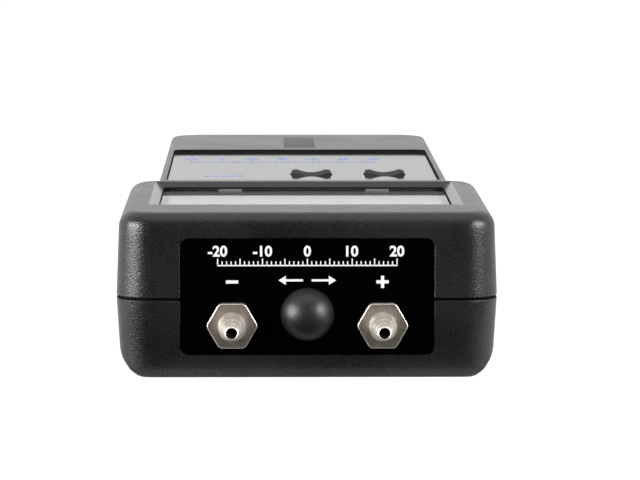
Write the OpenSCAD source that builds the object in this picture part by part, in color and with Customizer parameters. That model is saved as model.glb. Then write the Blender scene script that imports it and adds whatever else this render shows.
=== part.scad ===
// Handheld digital manometer with two hose ports, a data jack under a rubber cap, a display and two buttons.
// The length runs along Y with the ports at the -Y end. The display faces +Z.
// The origin is the centre of the underside.

/* [Case] */
// Width of the head, which holds the display and the ports
head_w = 72; // [68:0.5:80]
// Length of the head
head_l = 68; // [67.5:0.5:70]
// Length of the body behind the head
body_l = 112; // [110:1:130]
// Width of the body behind the head
body_w = 60.4; // [56:0.2:66]
// Height of the case
case_h = 31.2; // [29:0.2:38]
// Height of the joint line between the two halves
seam_z = 15; // [14:0.5:15.5]
// Thickness of the side and end walls
side_wall = 2.2; // [1.8:0.1:2.4]
// Thickness of the top wall
top_wall = 1.85; // [1.7:0.05:2.4]
// Thickness of the floor
floor_wall = 2.4; // [2.3:0.1:3]
// Plan radius of the head's corners
head_corner_r = 7; // [6:0.5:9]
// Plan radius of the body's corners
body_corner_r = 8; // [6:0.5:10]
// Rounding of the head's top edge
head_edge_r = 3; // [2.4:0.1:3.4]
// Rounding of the body's top edge
body_edge_r = 1; // [0.6:0.1:1.4]
// Rounding of the underside's edge at the ends
foot_edge_r = 2.4; // [1.6:0.1:3]
// Large rounding along the underside's long edges
side_r = 7; // [5:0.5:7]
// Angle in degrees at which the underside's roundings meet its flat
foot_break = 20; // [16:1:24]
// Lean of the upper walls in degrees
upper_lean = 2.2; // [1:0.1:3]
// Lean of the lower walls in degrees
lower_lean = 3.5; // [1:0.1:4]
// Open groove at the joint line
seam_gap = 0.5; // [0.2:0.1:0.6]
// Thickness of the tongue that closes the joint line from inside
tongue_t = 1; // [0.8:0.1:1.2]
// Height of the tongue above the joint line
tongue_h = 1.6; // [1:0.1:2.4]

/* [Display] */
// Distance from the port end to the window's rim
window_set = 17; // [16:0.1:17.4]
// Width of the head's top beside the window
window_rim = 5.8; // [5.5:0.1:7]
// Length of the window at its rim
window_l = 46; // [45:0.5:46]
// Width of the bevel round the window
bevel_w = 1.8; // [1:0.1:2.2]
// Depth of the bevel
bevel_h = 1; // [0.6:0.1:1.4]
// Thickness of the clear window
lens_t = 1.6; // [1.2:0.1:1.8]
// Width by which the clear window laps under the case
lens_lap = 1.5; // [1:0.1:1.7]
// Width of each locating tab on the clear window
lens_tab_w = 4.7; // [3:0.1:6]
// Distance between the two tabs
lens_tab_pitch = 29.8; // [20:0.2:40]
// Height of the window's raised middle, which stands up into the opening
lens_rise = 0.4; // [0.2:0.05:0.6]
// Height of the tabs above the window's face
lens_tab_h = 0.35; // [0.3:0.05:0.4]
// Distance of the tabs from the window's far edge
lens_tab_set = 3; // [1:0.5:5]
// Thickness of the tabs
lens_tab_t = 0.45; // [0.3:0.05:0.8]
// Thickness of the foam gasket under the clear window
gasket_t = 0.7; // [0.4:0.1:0.9]
// Distance of the display frame inside the clear window's edge
lcd_frame_inset = 0.9; // [0.6:0.1:1.5]
// Wall of the display frame round the glass
lcd_frame_wall = 2; // [1.6:0.1:2.4]
// Thickness of the display glass
lcd_t = 2.6; // [2:0.1:2.8]
// Width of each contact strip
strip_t = 2.2; // [1.6:0.1:2.4]
// Height of each contact strip
strip_h = 3.4; // [3.2:0.1:3.6]

/* [Keypad] */
// Distance from the port end to the keypad's recess
keypad_set = 66; // [65.5:0.5:68]
// Length of the keypad's recess
keypad_l = 72; // [68:1:76]
// Width of the body's top beside the keypad's recess
keypad_rim = 2.1; // [2:0.1:3]
// Depth of the keypad's recess
keypad_depth = 0.9; // [0.6:0.1:1]
// Corner radius of the keypad's recess
keypad_r = 2; // [1:0.5:4]
// Thickness of the keypad label
keypad_t = 0.2; // [0.15:0.05:0.3]
// Width of a button
button_w = 8.2; // [7.4:0.1:8.6]
// Length of a button
button_l = 9; // [8:0.1:10]
// Corner radius of a button
button_r = 2.4; // [1.5:0.1:3]
// Height of a button's raised sides above the label
button_rise = 0.7; // [0.5:0.1:1]
// Depth of the finger dish across a button
button_dish = 0.65; // [0.4:0.05:0.65]
// Width of the flat top on each side of the dish
button_flat = 1.1; // [0.6:0.1:1.5]
// Travel of a button
button_travel = 0.6; // [0.4:0.05:0.65]
// Distance of the hold button's centre from the side of the keypad's recess
button_side = 10.8; // [10:0.1:12]
// Distance between the two buttons
button_pitch = 15.4; // [13.5:0.1:16]
// Distance from the port end to the buttons' centres
button_set = 86; // [81:0.5:87]
// Gap round a button
button_gap = 0.3; // [0.25:0.05:0.4]

/* [Port panel] */
// Width of the case's front beside the panel's face
panel_side = 12.25; // [12:0.25:13.5]
// Height of the case's front above the panel's face
panel_head = 4.8; // [4.7:0.1:5.4]
// Height of the case's front below the panel's face
panel_foot = 4.6; // [4.6:0.1:5]
// Corner radius of the panel's face
panel_r = 1.5; // [1:0.1:2.5]
// Distance that the face lies back from the joint line's edge
panel_set = 0.5; // [0.4:0.05:0.7]
// Width of the flange behind the case's wall
flange_w = 1.4; // [1:0.1:1.5]
// Thickness of the flange
flange_t = 1.6; // [1.2:0.1:1.8]
// Thickness of the printed label
port_label_t = 0.25; // [0.2:0.05:0.4]
// Height of the hose ports
port_z = 10.3; // [9.8:0.1:10.8]
// Width of the fitting's hexagon across its flats
hex_af = 8.4; // [7.6:0.1:8.8]
// Thickness of the fitting's hexagon
hex_t = 2.2; // [1.6:0.1:3]
// Length of the hose nozzle beyond the hexagon
nozzle_l = 10.5; // [9:0.5:14]
// Radius of the nozzle's base land
nozzle_base_r = 2.6; // [2.4:0.05:2.8]
// Length of the nozzle's base land
nozzle_base_l = 2.2; // [1.6:0.1:3]
// Radius of the nozzle's tip
nozzle_tip_r = 1.4; // [1.35:0.05:1.6]
// Radius of the air bore
nozzle_bore_r = 1.05; // [0.8:0.05:1.1]
// Radius of the fitting's thread
thread_r = 2.9; // [2.6:0.05:3]
// Thickness of the sealing washer
seal_t = 0.5; // [0.3:0.1:0.8]
// Thickness of the nut behind the panel
port_nut_t = 2; // [1.6:0.1:2.4]
// Length of the tail that the inner tube goes over
tail_l = 7.5; // [6:0.5:8]
// Radius of the tail
tail_r = 1.5; // [1.4:0.05:1.6]

/* [Data jack] */
// Height of the data jack
jack_z = 12.2; // [11.8:0.1:12.6]
// Width and height of the jack's housing
jack_w = 9; // [8:0.1:9.4]
// Length of the jack's housing behind the panel
jack_l = 13; // [12:0.5:14]
// Radius of the jack's threaded bush
bush_r = 3; // [2.8:0.1:3.2]
// Radius of the jack's plug bore
jack_bore_r = 1.8; // [1.75:0.05:1.9]
// Radius of the ring nut on the bush
jack_nut_r = 3.9; // [3.7:0.05:4]
// Thickness of the ring nut
jack_nut_t = 1; // [0.8:0.1:1.2]
// Radius of the rubber dome cap
cap_r = 5; // [4.9:0.1:5.4]
// Length of the cap's stem
cap_stem_l = 9; // [7:0.5:10]

/* [Board and sensor] */
// Thickness of the board
board_t = 1.6; // [1.4:0.1:1.8]
// Distance of the board from the outside of the head
board_head_rim = 5; // [4.5:0.1:6]
// Distance of the board from the outside of the body
board_body_rim = 4.2; // [4:0.1:6]
// Distance from the port end to the board's far edge
board_reach = 104; // [103:0.5:105]
// Width of the pressure sensor
sensor_w = 18; // [16:0.5:20]
// Length of the pressure sensor
sensor_l = 18; // [16:0.5:20]
// Height of the pressure sensor
sensor_h = 7.4; // [6.5:0.1:7.8]
// Distance from the port end to the pressure sensor
sensor_set = 38; // [37:0.5:42]
// Distance between the sensor's two nipples
nipple_pitch = 10; // [9:0.5:12]
// Radius of the sensor's nipples
nipple_r = 1.2; // [1:0.1:1.3]
// Length of the sensor's nipples
nipple_l = 6; // [5:0.5:7]
// Outer radius of the inner tubes
tube_r = 2.1; // [2:0.05:2.3]
// Radius of the insulated wires
wire_r = 0.55; // [0.4:0.05:0.6]

/* [Battery] */
// Width of the battery
battery_w = 26.5; // [25.5:0.5:27]
// Length of the battery
battery_l = 48.5; // [47:0.5:49]
// Height of the battery
battery_h = 17.5; // [16.5:0.5:18]
// Distance from the far end to the battery
battery_set = 6; // [5.5:0.1:7]
// Width of the battery door
door_w = 29; // [28.4:0.2:30]
// Height of the door's upturned end
door_end_h = 5; // [4:0.1:6]
// Number of grip ribs on the door
grip_count = 5; // [3:1:7]

/* [Screws] */
// Distance of the head screws from the outside of the head
head_screw_side = 9.5; // [9.2:0.1:10]
// Distance from the port end to the head screws
head_screw_set = 9.2; // [9.1:0.1:9.4]
// Distance of the body screws from the outside of the body
body_screw_side = 8.6; // [8:0.1:9.5]
// Distance of the body screws from the battery bay
body_screw_set = 7; // [6:0.5:8]
// Radius of a case screw's head
screw_head_r = 2.5; // [2.2:0.1:2.6]
// Radius of a case screw's shank
screw_r = 1.25; // [1:0.05:1.35]
// Length of a case screw's shank
screw_l = 14; // [12:0.5:15]
// Radius of a board screw's shank
board_screw_r = 1; // [0.8:0.05:1.1]
// Length of a board screw's shank
board_screw_l = 6; // [5:0.5:7]

/* [Hidden] */

$fn = 64;

// Overrun of every cut past the surface that it opens
over = 0.5;
// Clearance between pieces that sit against each other
fit = 0.1;
// Clearance between pieces that move past each other
slip = 0.25;
// Radial clearance of a pin that slides in its bore
pin_fit = 0.05;
// Steps in the arc of a rounded edge and of a rounded outline
edge_steps = 9;

// Heights and places worked out from the case
case_l = head_l + body_l;
front_y = -case_l / 2;
far_y = case_l / 2;
head_far_y = front_y + head_l;
ceiling_z = case_h - top_wall;
upper_foot_z = seam_z + seam_gap / 2;
lower_rim_z = seam_z - seam_gap / 2;
// Length of the body that is tucked inside the head
body_tuck = 12;
// Smallest rounding of an inner edge
inner_edge_r = 0.8;
// Distance that the large side rounding stands clear of the drafted wall
side_slack = 0.03;

head_centres = [
    [head_w / 2 - head_corner_r, front_y + head_corner_r],
    [head_w / 2 - head_corner_r, head_far_y - head_corner_r],
    [-head_w / 2 + head_corner_r, head_far_y - head_corner_r],
    [-head_w / 2 + head_corner_r, front_y + head_corner_r]
];
body_centres = [
    [body_w / 2 - body_corner_r, head_far_y - body_tuck],
    [body_w / 2 - body_corner_r, far_y - body_corner_r],
    [-body_w / 2 + body_corner_r, far_y - body_corner_r],
    [-body_w / 2 + body_corner_r, head_far_y - body_tuck]
];

// Window and display, from the case's top downwards
window_w = head_w - 2 * window_rim;
window_near_y = front_y + window_set;
window_y = window_near_y + window_l / 2;
opening_w = window_w - 2 * bevel_w;
opening_l = window_l - 2 * bevel_w;
lens_w = opening_w + 2 * lens_lap;
lens_l = opening_l + 2 * lens_lap;
lens_z = ceiling_z - lens_t;
frame_top_z = lens_z - gasket_t;
lcd_frame_w = lens_w - 2 * lcd_frame_inset;
lcd_frame_l = lens_l - 2 * lcd_frame_inset;
lcd_w = lcd_frame_w - 2 * lcd_frame_wall;
lcd_l = lcd_frame_l - 2 * lcd_frame_wall;
// Ledge of the display frame under the glass
lcd_ledge = 1.2;
lcd_z = frame_top_z - fit - lcd_t;
board_top_z = lcd_z - strip_h;
board_z = board_top_z - board_t;

// Keypad and buttons
keypad_w = body_w - 2 * keypad_rim;
keypad_near_y = front_y + keypad_set;
keypad_y = keypad_near_y + keypad_l / 2;
keypad_z = case_h - keypad_depth;
label_top_z = keypad_z + keypad_t;
button_x = keypad_w / 2 - button_side - button_pitch;
button_y = front_y + button_set;
button_flange_lap = 1.1;
button_flange_t = 1.2;
button_flange_z = ceiling_z - slip - button_flange_t;
// Radius of the cylinder that cuts a button's finger dish
dish_r = (pow(button_w / 2 - button_flat, 2) + pow(button_dish, 2)) / (2 * button_dish);
switch_w = 6;
switch_h = 3.6;
switch_floor = 1.2;
plunger_r = 1.7;
// Free space under a plunger beyond its travel
plunger_rest = 0.2;
// Height of the plunger's top above the switch's housing
plunger_rise = 1.6;
plunger_top_z = board_top_z + switch_h + plunger_rise;

// Scoop in the top behind the keypad
scoop_w = 7;
scoop_l = 28;
scoop_depth = 2.9;
// Wall under and around the scoop
scoop_wall = 1.2;
scoop_set = 5;
scoop_near_y = keypad_near_y + keypad_l + scoop_set;
scoop_r = (pow(scoop_l, 2) + pow(scoop_depth, 2)) / (2 * scoop_depth);

// Port panel, from its face inwards
panel_w = head_w - 2 * panel_side;
// Distance between the two hose ports as a share of the panel's width
port_pitch_share = 0.5937;
port_pitch = port_pitch_share * panel_w;
panel_h = case_h - panel_head - panel_foot;
panel_z = panel_foot + panel_h / 2;
label_face_y = front_y + panel_set;
panel_face_y = label_face_y + port_label_t;
// Distance that the leaning wall moves the flange inwards
flange_slack = 0.8;
flange_y = front_y + side_wall + flange_slack;
panel_back_y = flange_y + flange_t;
seal_y = label_face_y - seal_t;
hex_y = seal_y - hex_t;
nozzle_tip_y = hex_y - nozzle_l;
tail_y = panel_back_y + port_nut_t;
hex_corner_r = hex_af / 2 / cos(30);
// Share of the hexagon's corner radius that is turned off its face
hex_turn_share = 0.04;
hex_turned_r = hex_corner_r * (1 - hex_turn_share);
nozzle_barbs = 3;
// Radius that each barb loses towards the tip as a share of the nozzle's fall
barb_lip = 0.28;

// Data jack and its cap
jack_back_y = panel_back_y + jack_l;
bush_tip_y = label_face_y - jack_nut_t;
cap_foot_y = label_face_y - slip;
cap_hollow_r = jack_nut_r + slip;
cap_hollow_l = jack_nut_t + slip;
cap_stem_r = jack_bore_r - pin_fit;

// Board, sensor and tubes
board_gap = 0.7;
board_head_w = head_w - 2 * board_head_rim;
board_body_w = body_w - 2 * board_body_rim;
board_near_y = tail_y + board_gap;
board_waist_set = 5;
board_waist_y = head_far_y - board_waist_set;
board_far_y = front_y + board_reach;
// Gap between the board's front notch and the jack's housing
board_notch_gap = 0.6;
sensor_y = front_y + sensor_set;
// Length of the sensor's legs up to the board
sensor_leg = 0.6;
sensor_z = board_z - sensor_leg - sensor_h;
nipple_z = sensor_z + sensor_h / 2;
sensor_leg_r = 0.4;
tube_sides = 12;
tube_rings = 18;
wire_sides = 8;
wire_rings = 10;

// Battery bay and door
battery_far_y = far_y - battery_set;
battery_near_y = battery_far_y - battery_l;
door_sink = 0.3;
door_top_z = floor_wall - slip;
battery_z = door_top_z + slip;
terminal_r = 2.9;
terminal_l = 2.7;
terminal_pitch = 12.7;
snap_t = 4;
snap_gap = 0.2;
snap_w = 24;
snap_h = 13;
snap_y = battery_near_y - snap_gap - snap_t;
door_lead = 1.5;
door_near_y = snap_y - door_lead;
door_tongue_w = 1.2;
door_tongue_t = 1;
door_end_t = side_wall + 0.4;
bay_wall_t = 1.7;
bay_wall_h = 9;
bay_overhang = 1;
// Places of the two ribs that keep the battery down, along its length
bay_rib_shares = [0.25, 0.75];
grip_w = 1;
grip_l = 18;
grip_depth = 0.5;
grip_pitch = 2.4;

// Screws and posts
head_screw_x = head_w / 2 - head_screw_side;
head_screw_y = front_y + head_screw_set;
body_screw_x = body_w / 2 - body_screw_side;
body_screw_y = door_near_y - bay_wall_t - body_screw_set;
case_screw_places = [
    [head_screw_x, head_screw_y], [-head_screw_x, head_screw_y],
    [body_screw_x, body_screw_y], [-body_screw_x, body_screw_y]
];
screw_head_h = 1.8;
screw_sink = 5;
screw_slot_w = 0.7;
post_wall = 1.2;
lower_post_r = screw_head_r + fit + post_wall;
upper_post_r = 3;
lower_post_top_z = lower_rim_z;
board_nose_w = 2 * (head_screw_x - upper_post_r - board_gap);
board_shoulder_y = head_screw_y + upper_post_r + board_gap;
board_post_r = 2.5;
board_screw_head_r = 2.1;
board_screw_head_h = 1.3;
// Distance of the board screws from the board's edges
board_screw_inset = 2.9;
board_screw_places = [
    for (side = [1, -1]) each [
        [side * (board_nose_w / 2 - board_screw_inset), board_near_y + board_screw_inset],
        [side * (board_body_w / 2 - board_screw_inset), board_waist_y + board_waist_set],
        [side * (board_body_w / 2 - board_screw_inset), board_far_y - board_screw_inset]
    ]
];

// Points of an arc about the centre c, from angle a0 to a1
function arc(c, r, a0, a1) = [
    for (i = [0:edge_steps]) let (a = a0 + (a1 - a0) * i / edge_steps) c + r * [cos(a), sin(a)]
];

// Half section of a leaning wall: reach out at height z0, leaning in towards z1.
// Its edge at z1 is rounded to r as far as the angle a1.
function wall_section(reach, z0, z1, lean, r, a1 = 90) = let (
    s = sign(z1 - z0),
    zc = z1 - s * r * sin(a1),
    xc = reach - tan(lean) * abs(zc - z0) - r / cos(lean)
) concat(
    [[0, z0], [reach, z0]],
    [for (p = arc([xc, 0], r, lean, a1)) [p[0], zc + s * p[1]]],
    [[0, z1]]
);

// Half section of an upright wall
function plain_section(reach, z0, z1) = [[0, z0], [reach, z0], [reach, z1], [0, z1]];

// Outline of a rectangle with rounded corners, centred
function rounded_rect(w, l, r) = concat(
    arc([w / 2 - r, l / 2 - r], r, 0, 90),
    arc([-w / 2 + r, l / 2 - r], r, 90, 180),
    arc([-w / 2 + r, -l / 2 + r], r, 180, 270),
    arc([w / 2 - r, -l / 2 + r], r, 270, 360)
);

// Angle of the outward normal of edge i of a ring of centres
function edge_angle(centres, i) = let (
    n = len(centres),
    d = centres[(i + 1) % n] - centres[i % n]
) atan2(d[1], d[0]) - 90;

// Block whose rim follows a half section all the way round a ring of corner centres
module ring_block(centres, section) {
    n = len(centres);
    z0 = min([for (p = section) p[1]]);
    z1 = max([for (p = section) p[1]]);
    for (i = [0:n - 1]) {
        here = centres[i];
        next = centres[(i + 1) % n];
        out = edge_angle(centres, i);
        before = edge_angle(centres, i + n - 1);
        translate([next[0], next[1], 0])
            rotate([90, 0, out])
                linear_extrude(norm(next - here))
                    polygon(section);
        translate([here[0], here[1], 0])
            rotate([0, 0, before])
                rotate_extrude(angle = (out - before + 360) % 360)
                    polygon(section);
    }
    translate([0, 0, z0])
        linear_extrude(z1 - z0)
            polygon(centres);
}

// The upper half as a block, drawn in by inset, from height z0 to z1
module upper_block(inset, z0, z1) {
    spread = tan(upper_lean) * (seam_z - z0);
    ring_block(head_centres, wall_section(
        head_corner_r - inset + spread, z0, z1, upper_lean, max(head_edge_r - inset, inner_edge_r)));
    ring_block(body_centres, wall_section(
        body_corner_r - inset + spread, z0, z1, upper_lean, max(body_edge_r - inset, inner_edge_r)));
}

// A length of the lower half's section across, with its large side roundings
module side_section(half_w, z0, z1, r) {
    half = wall_section(half_w + side_slack, z0, z1, lower_lean, r, 90 - foot_break);
    points = concat(half, [for (i = [len(half) - 1:-1:0]) [-half[i][0], half[i][1]]]);
    translate([0, far_y + over, 0])
        rotate([90, 0, 0])
            linear_extrude(case_l + 2 * over)
                polygon(points);
}

// The lower half as a block, drawn in by inset, from height z0 down to z1
module lower_block(inset, z0, z1) {
    spread = tan(lower_lean) * (z0 - seam_z);
    intersection() {
        ring_block(head_centres, wall_section(
            head_corner_r - inset + spread, z0, z1, lower_lean, max(foot_edge_r - inset, inner_edge_r),
            90 - foot_break));
        side_section(head_w / 2 - inset + spread, z0, z1, side_r - inset);
    }
    intersection() {
        ring_block(body_centres, wall_section(
            body_corner_r - inset + spread, z0, z1, lower_lean, max(foot_edge_r - inset, inner_edge_r),
            90 - foot_break));
        side_section(body_w / 2 - inset + spread, z0, z1, side_r - inset);
    }
}

// An upright ring of walls from height z0 to z1, drawn in by inset
module plain_block(inset, z0, z1) {
    ring_block(head_centres, plain_section(head_corner_r - inset, z0, z1));
    ring_block(body_centres, plain_section(body_corner_r - inset, z0, z1));
}

// A flat plate with rounded corners, standing on height z and centred at x and y
module plate(x, y, z, w, l, t, r) {
    translate([x, y, z])
        linear_extrude(t)
            polygon(rounded_rect(w, l, r));
}

// A plate with rounded corners that faces the ports, with its front at y and its thickness towards +Y
module face_plate(x, y, z, w, h, t, r) {
    translate([x, y + t, z])
        rotate([90, 0, 0])
            linear_extrude(t)
                polygon(rounded_rect(w, h, r));
}

// A box centred at x and y that stands on height z
module block(x, y, z, w, l, h) {
    translate([x - w / 2, y - l / 2, z])
        cube([w, l, h]);
}

// A round bar along Y from y0 to y1
module bar(x, z, r, y0, y1) {
    translate([x, y1, z])
        rotate([90, 0, 0])
            cylinder(r = r, h = y1 - y0);
}

// A cone along Y with radius r0 at y0 and r1 at y1
module taper_bar(x, z, r0, r1, y0, y1) {
    translate([x, y1, z])
        rotate([90, 0, 0])
            cylinder(r1 = r1, r2 = r0, h = y1 - y0);
}

// A hexagon along Y with flats at top and bottom
module hex_bar(x, z, af, y0, y1) {
    translate([x, y1, z])
        rotate([90, 0, 0])
            cylinder(r = af / 2 / cos(30), h = y1 - y0, $fn = 6);
}

// Cut for the window: a straight opening with a bevelled rim
module window_cut() {
    block(0, window_y, ceiling_z - over, opening_w, opening_l, top_wall + 2 * over);
    flare = bevel_w * over / bevel_h;
    intersection() {
        translate([0, window_y + window_l, 0])
            rotate([90, 0, 0])
                linear_extrude(2 * window_l)
                    polygon([
                        [opening_w / 2, case_h - bevel_h], [window_w / 2 + flare, case_h + over],
                        [-window_w / 2 - flare, case_h + over], [-opening_w / 2, case_h - bevel_h]
                    ]);
        translate([-window_w, window_y, 0])
            rotate([90, 0, 90])
                linear_extrude(2 * window_w)
                    polygon([
                        [opening_l / 2, case_h - bevel_h], [window_l / 2 + flare, case_h + over],
                        [-window_l / 2 - flare, case_h + over], [-opening_l / 2, case_h - bevel_h]
                    ]);
    }
}

// Scoop that is deepest at its near end and runs out level at its far end
module scoop_cut() {
    difference() {
        block(0, scoop_near_y + scoop_l / 2, case_h - scoop_depth - over, scoop_w, scoop_l, scoop_depth + 2 * over);
        translate([-scoop_w, scoop_near_y + scoop_l, case_h - scoop_r])
            rotate([0, 90, 0])
                cylinder(r = scoop_r, h = 2 * scoop_w, $fn = 720);
    }
}

// Opening for the port panel through the front wall
module panel_cut() {
    face_plate(0, front_y - over, panel_z, panel_w + 2 * fit, panel_h + 2 * fit,
        side_wall + flange_slack + 2 * over, panel_r + fit);
    face_plate(0, flange_y - fit, panel_z, panel_w + 2 * flange_w + 2 * fit, panel_h + 2 * flange_w + 2 * fit,
        flange_t + 2 * fit, panel_r);
}

// Rib behind the panel's flange, on one side, from height z0 to z1
module flange_rib(side, z0, z1) {
    rib_t = 1.4;
    rib_x = panel_w / 2 + flange_w / 2;
    rib_l = head_screw_y - panel_back_y - fit;
    block(side * rib_x, panel_back_y + fit + rib_l / 2, z0, rib_t, rib_l, z1 - z0);
}

module top_case() {
    color([0.2, 0.2, 0.21])
        difference() {
            union() {
                difference() {
                    upper_block(0, upper_foot_z, case_h);
                    upper_block(side_wall, upper_foot_z - over, ceiling_z);
                    plain_block(side_wall - tongue_t - fit, upper_foot_z - over, seam_z + tongue_h + fit);
                }
                for (p = case_screw_places)
                    translate([p[0], p[1], upper_foot_z])
                        cylinder(r = upper_post_r, h = ceiling_z - upper_foot_z + over);
                for (p = board_screw_places)
                    translate([p[0], p[1], board_top_z])
                        cylinder(r = board_post_r, h = ceiling_z - board_top_z + over);
                block(0, scoop_near_y + scoop_l / 2, case_h - scoop_depth - scoop_wall, scoop_w + 2 * scoop_wall,
                    scoop_l + 2 * scoop_wall, ceiling_z + over - case_h + scoop_depth + scoop_wall);
                for (side = [-1, 1])
                    flange_rib(side, upper_foot_z + tongue_h, ceiling_z + over);
                for (share = bay_rib_shares)
                    block(0, battery_near_y + share * battery_l, battery_z + battery_h + slip,
                        battery_w / 2, bay_wall_t, ceiling_z + over - battery_z - battery_h - slip);
            }
            window_cut();
            plate(0, keypad_y, keypad_z, keypad_w, keypad_l, keypad_depth + over, keypad_r);
            for (i = [0, 1])
                plate(button_x + i * button_pitch, button_y, ceiling_z - over, button_w + 2 * button_gap,
                    button_l + 2 * button_gap, top_wall + 2 * over, button_r + button_gap);
            scoop_cut();
            panel_cut();
            for (p = case_screw_places)
                translate([p[0], p[1], upper_foot_z - over])
                    cylinder(r = screw_r + fit, h = screw_sink + screw_l - upper_foot_z + 2 * over);
            for (p = board_screw_places)
                translate([p[0], p[1], board_top_z - over])
                    cylinder(r = board_screw_r + fit, h = board_screw_l - board_t + 2 * over);
        }
}

module bottom_case() {
    groove_w = door_w + 2 * door_tongue_w + 2 * slip;
    groove_z = door_top_z - door_tongue_t - slip;
    door_l = far_y + over - door_near_y + slip;
    color([0.17, 0.17, 0.18])
        difference() {
            union() {
                difference() {
                    lower_block(0, lower_rim_z, 0);
                    lower_block(side_wall, lower_rim_z + over, floor_wall);
                }
                difference() {
                    plain_block(side_wall - tongue_t, lower_rim_z - tongue_h, seam_z + tongue_h);
                    plain_block(side_wall, lower_rim_z - tongue_h - over, seam_z + tongue_h + over);
                }
                for (p = case_screw_places)
                    translate([p[0], p[1], floor_wall - over])
                        cylinder(r = lower_post_r, h = lower_post_top_z - floor_wall + over);
                for (side = [-1, 1]) {
                    flange_rib(side, floor_wall - over, seam_z - tongue_h);
                    block(side * (door_w / 2 + bay_wall_t / 2 + bay_overhang / 2), (battery_near_y + battery_far_y) / 2,
                        floor_wall - fit, bay_wall_t, battery_l, bay_wall_h);
                }
                block(0, door_near_y - bay_wall_t, floor_wall - over, door_w + 2 * bay_wall_t, bay_wall_t, snap_h / 2);
            }
            panel_cut();
            for (p = case_screw_places) {
                translate([p[0], p[1], -over])
                    cylinder(r = screw_head_r + fit, h = screw_sink + over);
                translate([p[0], p[1], 0])
                    cylinder(r = screw_r + 2 * fit, h = lower_post_top_z + over);
            }
            block(0, door_near_y - slip + door_l / 2, -over, door_w + 2 * slip, door_l, floor_wall + 2 * over);
            block(0, far_y, -over, door_w + 2 * slip, 2 * door_end_t + 2 * slip, door_end_h + slip + over);
            block(0, door_near_y - slip + door_l / 2, groove_z, groove_w, door_l, floor_wall - groove_z);
        }
}

module battery_door() {
    plate_l = far_y - door_near_y;
    tongue_l = plate_l - door_end_t - side_r;
    color([0.17, 0.17, 0.18])
        difference() {
            union() {
                intersection() {
                    lower_block(door_sink, seam_z, door_sink);
                    union() {
                        block(0, door_near_y + plate_l / 2, -over, door_w, plate_l, door_top_z + over);
                        block(0, far_y - door_end_t / 2, -over, door_w, door_end_t, door_end_h + over);
                    }
                }
                block(0, door_near_y + tongue_l / 2, door_top_z - door_tongue_t, door_w + 2 * door_tongue_w,
                    tongue_l, door_tongue_t);
            }
            for (i = [0:grip_count - 1])
                block(0, battery_far_y - 2 * grip_pitch - i * grip_pitch, -over, grip_l, grip_w,
                    over + door_sink + grip_depth);
        }
}

module port_panel() {
    color([0.1, 0.1, 0.1])
        difference() {
            union() {
                face_plate(0, panel_face_y, panel_z, panel_w, panel_h, panel_back_y - panel_face_y, panel_r);
                face_plate(0, flange_y, panel_z, panel_w + 2 * flange_w, panel_h + 2 * flange_w, flange_t, panel_r);
            }
            panel_holes();
        }
}

// The three holes through the panel and its label
module panel_holes() {
    for (side = [-1, 1])
        bar(side * port_pitch / 2, port_z, thread_r + fit, label_face_y - over, panel_back_y + over);
    bar(0, jack_z, bush_r + fit, label_face_y - over, panel_back_y + over);
}

module port_label() {
    color([0.02, 0.02, 0.02])
        difference() {
            face_plate(0, label_face_y, panel_z, panel_w, panel_h, port_label_t, panel_r);
            panel_holes();
        }
}

module keypad_label() {
    color([0.77, 0.77, 0.76])
        difference() {
            plate(0, keypad_y, keypad_z, keypad_w - 2 * fit, keypad_l - 2 * fit, keypad_t, keypad_r - fit);
            for (i = [0, 1])
                plate(button_x + i * button_pitch, button_y, keypad_z - over, button_w + 2 * button_gap,
                    button_l + 2 * button_gap, keypad_t + 2 * over, button_r + button_gap);
        }
}

module display_window() {
    color([0.85, 0.88, 0.9]) {
        block(0, window_y, lens_z, lens_w, lens_l, lens_t);
        block(0, window_y, lens_z, opening_w - 2 * fit, opening_l - 2 * fit, lens_t + lens_rise);
        for (side = [-1, 1])
            block(side * lens_tab_pitch / 2, window_y + opening_l / 2 - fit - lens_tab_set - lens_tab_t / 2, lens_z,
                lens_tab_w, lens_tab_t, lens_t + lens_rise + lens_tab_h);
    }
}

module window_gasket() {
    color([0.08, 0.08, 0.08])
        difference() {
            block(0, window_y, frame_top_z, lcd_frame_w, lcd_frame_l, gasket_t);
            block(0, window_y, frame_top_z - over, lcd_w, lcd_l, gasket_t + 2 * over);
        }
}

module lcd_frame() {
    color([0.1, 0.1, 0.1])
        difference() {
            block(0, window_y, board_top_z, lcd_frame_w, lcd_frame_l, frame_top_z - board_top_z);
            block(0, window_y, lcd_z, lcd_w + 2 * fit, lcd_l + 2 * fit, frame_top_z - lcd_z + over);
            block(0, window_y, board_top_z - over, lcd_w - 2 * lcd_ledge, lcd_l, frame_top_z - board_top_z);
        }
}

module lcd_glass() {
    color([0.62, 0.66, 0.6])
        block(0, window_y, lcd_z, lcd_w, lcd_l, lcd_t);
}

module contact_strips() {
    strip_l = lcd_w - 4 * lcd_ledge;
    color([0.85, 0.5, 0.6])
        for (side = [-1, 1])
            block(0, window_y + side * (lcd_l / 2 - 1.5 * strip_t), board_top_z, strip_l, strip_t, lcd_z - board_top_z);
}

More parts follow.
